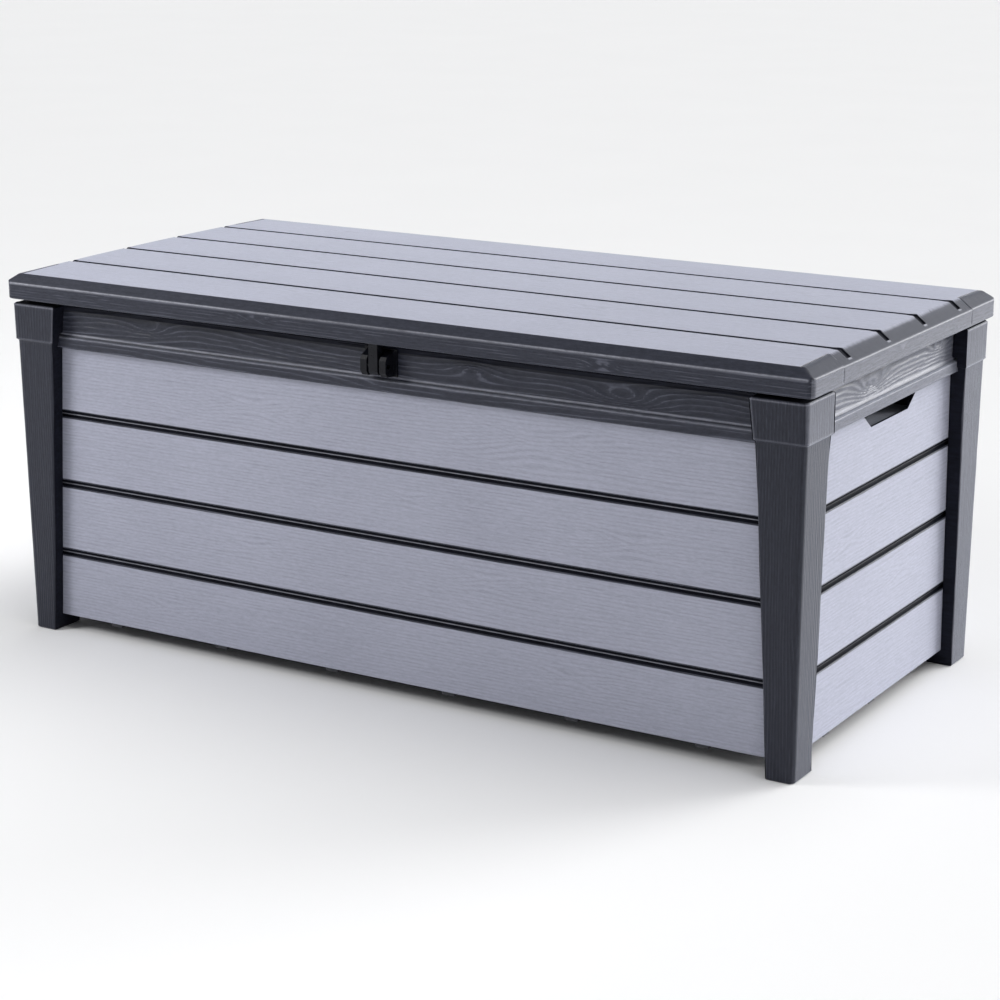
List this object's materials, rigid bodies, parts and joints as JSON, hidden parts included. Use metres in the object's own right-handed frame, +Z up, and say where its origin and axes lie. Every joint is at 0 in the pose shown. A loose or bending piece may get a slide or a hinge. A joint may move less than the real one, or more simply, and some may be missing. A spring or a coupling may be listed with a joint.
{
  "type": "deck storage box",
  "caption": "Long resin storage box for a deck, with moulded plank walls, tapered corner legs, end hand-holds, a padlock hasp and a rear-hinged lid held by gas struts.",
  "frame": {"origin": "centre of the footprint, on the ground under the feet", "axes": "+X along the length to the right seen from the front, -Y to the front, +Z up"},
  "size_m": [1.45, 0.7, 0.615],
  "materials": {
    "panel_resin": "moulded woodgrain, brushed grey over anthracite",
    "frame_resin": "moulded woodgrain, anthracite",
    "lid_resin": "moulded woodgrain, brushed grey top over anthracite rim",
    "liner_resin": "fine grain",
    "floor_resin": "fine grain",
    "hasp_resin": "satin black",
    "strut_black": "satin black paint",
    "bright_steel": "ground steel",
    "zinc_steel": "zinc plated",
    "rubber": "matt"
  },
  "bodies": {
    "box": {"front_panel": "panel_resin", "rear_panel": "panel_resin", "left_end_panel": "panel_resin", "right_end_panel": "panel_resin", "leg_front_left": "frame_resin", "leg_front_right": "frame_resin", "leg_rear_left": "frame_resin", "leg_rear_right": "frame_resin", "floor_left": "floor_resin", "floor_right": "floor_resin", "leg_screws": "zinc_steel", "floor_screws": "zinc_steel", "hinge_base_screws": "zinc_steel", "staple_screws": "zinc_steel", "strut_bracket_screws": "zinc_steel", "padlock_staple": "hasp_resin", "hinge_base_left": "frame_resin", "hinge_pin_left": "bright_steel", "hinge_base_centre": "frame_resin", "hinge_pin_centre": "bright_steel", "hinge_base_right": "frame_resin", "hinge_pin_right": "bright_steel", "strut_bracket_left": "strut_black", "strut_bracket_right": "strut_black"},
    "lid": {"lid_deck": "lid_resin", "lid_liner": "liner_resin", "lid_screws": "zinc_steel", "lid_bumpers": "rubber", "hasp_tongue": "hasp_resin", "tongue_screws": "zinc_steel", "hinge_leaf_screws": "zinc_steel", "lid_bracket_screws": "zinc_steel", "hinge_leaf_left": "frame_resin", "hinge_leaf_centre": "frame_resin", "hinge_leaf_right": "frame_resin", "strut_lid_bracket_left": "strut_black", "strut_lid_bracket_right": "strut_black"},
    "strut_barrel_left": {"strut_cylinder_left": "strut_black", "strut_gland_left": "hasp_resin", "strut_eye_left": "hasp_resin"},
    "strut_piston_left": {"strut_rod_left": "bright_steel", "strut_socket_left": "hasp_resin"},
    "strut_barrel_right": {"strut_cylinder_right": "strut_black", "strut_gland_right": "hasp_resin", "strut_eye_right": "hasp_resin"},
    "strut_piston_right": {"strut_rod_right": "bright_steel", "strut_socket_right": "hasp_resin"}
  },
  "joints": [
    {"name": "lid_hinge", "type": "hinge", "parent": "box", "child": "lid", "pos_m": [0, 0.344, 0.5655], "axis": [-1, 0, 0], "range_deg": [0, 80], "stiffness_Nm_per_rad": 12, "springref_deg": 109.72},
    {"name": "strut_pivot_left", "type": "hinge", "parent": "box", "child": "strut_barrel_left", "pos_m": [-0.653, 0.286, 0.3725], "axis": [-1, 0, 0], "range_deg": [0, 2.1]},
    {"name": "strut_travel_left", "type": "slide", "parent": "strut_barrel_left", "child": "strut_piston_left", "axis": [0, -0.0133, 0.9999], "range_m": [0, 0.0955]},
    {"name": "strut_pivot_right", "type": "hinge", "parent": "box", "child": "strut_barrel_right", "pos_m": [0.653, 0.286, 0.3725], "axis": [-1, 0, 0], "range_deg": [0, 2.1]},
    {"name": "strut_travel_right", "type": "slide", "parent": "strut_barrel_right", "child": "strut_piston_right", "axis": [0, -0.0133, 0.9999], "range_m": [0, 0.0955]}
  ],
  "couplings": [
    {"joint": "strut_pivot_left", "follows": "lid_hinge", "ratio": 0.024872},
    {"joint": "strut_travel_left", "follows": "lid_hinge", "m_per_rad": 0.067798},
    {"joint": "strut_pivot_right", "follows": "lid_hinge", "ratio": 0.024872},
    {"joint": "strut_travel_right", "follows": "lid_hinge", "m_per_rad": 0.067798}
  ]
}
